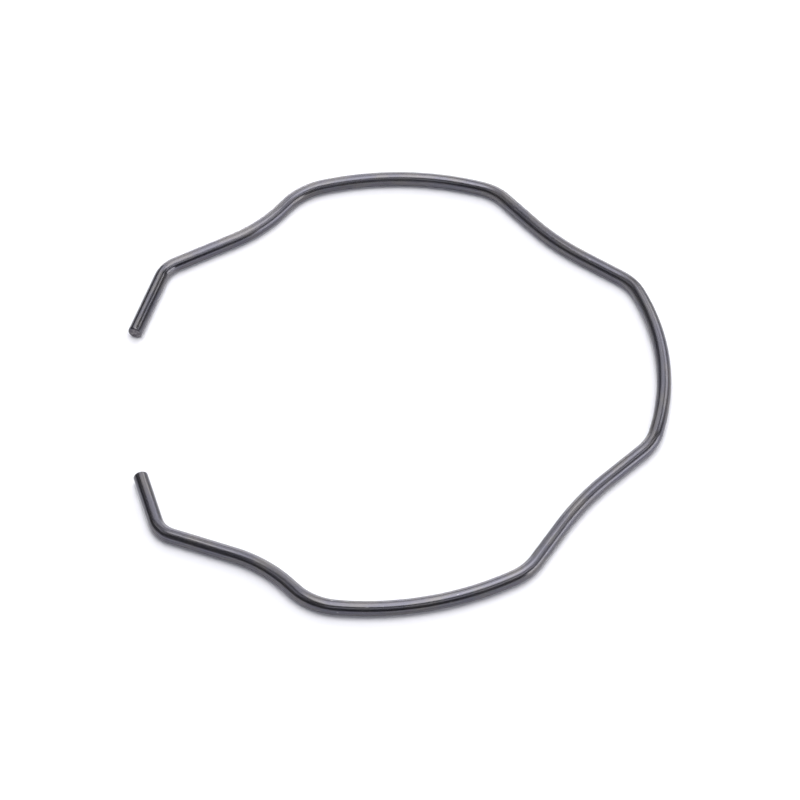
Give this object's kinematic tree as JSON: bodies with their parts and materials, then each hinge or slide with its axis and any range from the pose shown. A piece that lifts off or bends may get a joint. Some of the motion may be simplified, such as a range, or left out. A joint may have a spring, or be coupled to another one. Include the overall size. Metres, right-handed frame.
{
  "type": "fork seal retaining clip",
  "caption": "Flat bent-wire snap clip: outward lobes spring into a groove, inward dips hold a fork's oil seal in its bore, and short legs beside a gap let a pick lift it out.",
  "frame": {"origin": "centre of the circle that the three lobes follow, on the wire's middle plane", "axes": "+X out through the back lobe, with the gap towards -X; +Z along the fork tube's axis; +Y across, towards the long leg"},
  "size_m": [0.0566, 0.06, 0.0014],
  "materials": {
    "spring_wire": "dark oil-tempered drawn spring wire, semi-gloss, with faint drawing lines along it"
  },
  "bodies": {
    "root": {"retaining_clip": "spring_wire"}
  },
  "joints": []
}
